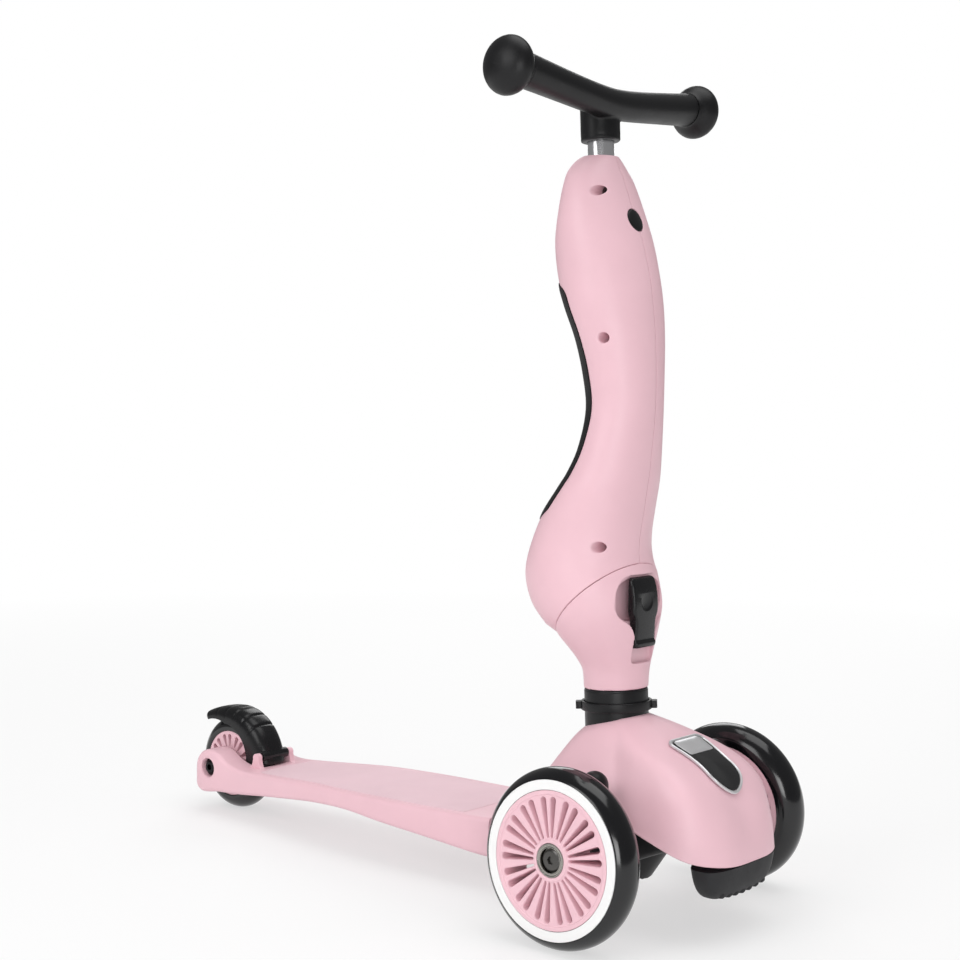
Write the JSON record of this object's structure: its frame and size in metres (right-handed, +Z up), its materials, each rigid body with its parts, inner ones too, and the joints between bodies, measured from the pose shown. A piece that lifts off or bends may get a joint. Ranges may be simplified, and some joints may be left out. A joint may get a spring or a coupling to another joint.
{
  "type": "three-wheel kick scooter",
  "caption": "Child's kick scooter with lean-to-steer front wheels, a folding column that becomes a seat, a short handlebar and a heel brake over the small rear wheel",
  "frame": {"origin": "On the ground, midway between the foremost and rearmost points and on the middle plane", "axes": "+Z up; the scooter faces -Y; +X is the rider's left"},
  "size_m": [0.246, 0.5646, 0.6017],
  "materials": {
    "pink_plastic": "dusty pink moulded plastic, satin",
    "white_plastic": "white moulded plastic, satin",
    "black_plastic": "black moulded plastic, satin",
    "tyre": "black polyurethane tyre, semi-gloss",
    "black_rubber": "black moulded rubber, matt",
    "pad_rubber": "dark grey soft pad, matt",
    "bush_rubber": "dark elastomer, matt",
    "badge_plastic": "black plate with a silver rim, glossy",
    "zinc_steel": "zinc-plated steel",
    "bearing_steel": "ground bearing steel",
    "chrome": "chromed tube, polished"
  },
  "bodies": {
    "chassis": {"deck": "pink_plastic", "hood": "pink_plastic", "badge": "badge_plastic", "nose_bumper": "black_rubber", "column_post": "zinc_steel", "column_bolt": "zinc_steel", "collar_sleeve": "black_plastic", "collar_clip": "black_plastic", "neck_shell": "pink_plastic", "bush_upper": "bush_rubber", "bush_lower": "bush_rubber", "kingpin_bolt": "zinc_steel", "kingpin_washer": "zinc_steel", "kingpin_nut": "zinc_steel", "rear_spacer": "zinc_steel", "rear_axle_bolt": "zinc_steel", "rear_axle_nut": "zinc_steel", "brake_pin": "zinc_steel", "brake_spring": "zinc_steel", "latch_spring": "zinc_steel", "fold_pivot_washer": "zinc_steel", "fold_pivot_nut": "zinc_steel"},
    "truck": {"truck_bridge": "black_plastic", "front_left_spacer": "zinc_steel", "front_right_spacer": "zinc_steel", "front_left_axle_bolt": "zinc_steel", "front_right_axle_bolt": "zinc_steel"},
    "front_wheel_left": {"front_left_tyre": "tyre", "front_left_trim_ring": "white_plastic", "front_left_hub": "pink_plastic", "front_left_bearing_outer": "bearing_steel", "front_left_bearing_inner": "bearing_steel"},
    "front_wheel_right": {"front_right_tyre": "tyre", "front_right_trim_ring": "white_plastic", "front_right_hub": "pink_plastic", "front_right_bearing_outer": "bearing_steel", "front_right_bearing_inner": "bearing_steel"},
    "rear_wheel": {"rear_tyre": "tyre", "rear_hub": "pink_plastic", "rear_bearing_left": "bearing_steel", "rear_bearing_right": "bearing_steel"},
    "brake": {"brake_fender": "black_plastic"},
    "latch": {"release_latch": "black_plastic"},
    "seat_column": {"seat_shell_left": "pink_plastic", "seat_shell_right": "pink_plastic", "column_screw_1": "zinc_steel", "column_screw_2": "zinc_steel", "column_screw_3": "zinc_steel", "seat_pad": "pad_rubber", "tube_guide": "black_plastic", "button_spring": "zinc_steel", "fold_pivot_bolt": "zinc_steel"},
    "button": {"height_button": "black_plastic"},
    "handlebar": {"handlebar_tube": "chrome", "handlebar": "black_plastic", "handlebar_screw": "zinc_steel", "grip_end_left": "black_plastic", "grip_end_right": "black_plastic"}
  },
  "joints": [
    {"name": "lean_steer", "type": "hinge", "parent": "chassis", "child": "truck", "pos_m": [0, -0.19625, 0.058], "axis": [0, -0.5736, 0.8192], "range_deg": [-10, 10], "stiffness_Nm_per_rad": 60},
    {"name": "front_left_wheel_spin", "type": "hinge", "parent": "truck", "child": "front_wheel_left", "pos_m": [0.105, -0.19825, 0.05991], "axis": [0.9981, 0, 0.061], "continuous": true},
    {"name": "front_right_wheel_spin", "type": "hinge", "parent": "truck", "child": "front_wheel_right", "pos_m": [-0.105, -0.19825, 0.05991], "axis": [0.9981, 0, -0.061], "continuous": true},
    {"name": "rear_wheel_spin", "type": "hinge", "parent": "chassis", "child": "rear_wheel", "pos_m": [0, 0.24235, 0.04], "axis": [1, 0, 0], "continuous": true},
    {"name": "rear_brake", "type": "hinge", "parent": "chassis", "child": "brake", "pos_m": [0, 0.19852, 0.05257], "axis": [-1, 0, 0], "range_deg": [0, 3], "stiffness_Nm_per_rad": 2, "springref_deg": -2.86},
    {"name": "fold_release_latch", "type": "slide", "parent": "chassis", "child": "latch", "axis": [0, 0, -1], "range_m": [0, 0.008], "stiffness_N_per_m": 400, "springref_m": -0.003},
    {"name": "column_fold", "type": "hinge", "parent": "chassis", "child": "seat_column", "pos_m": [0, -0.15535, 0.2184], "axis": [0, 0.7071, 0.7071], "range_deg": [0, 180]},
    {"name": "height_lock_button", "type": "slide", "parent": "seat_column", "child": "button", "axis": [0, 0.9986, -0.0534], "range_m": [0, 0.004], "stiffness_N_per_m": 600, "springref_m": -0.002},
    {"name": "handlebar_height", "type": "slide", "parent": "seat_column", "child": "handlebar", "axis": [0, 0.0534, 0.9986], "range_m": [0, 0.06]}
  ]
}
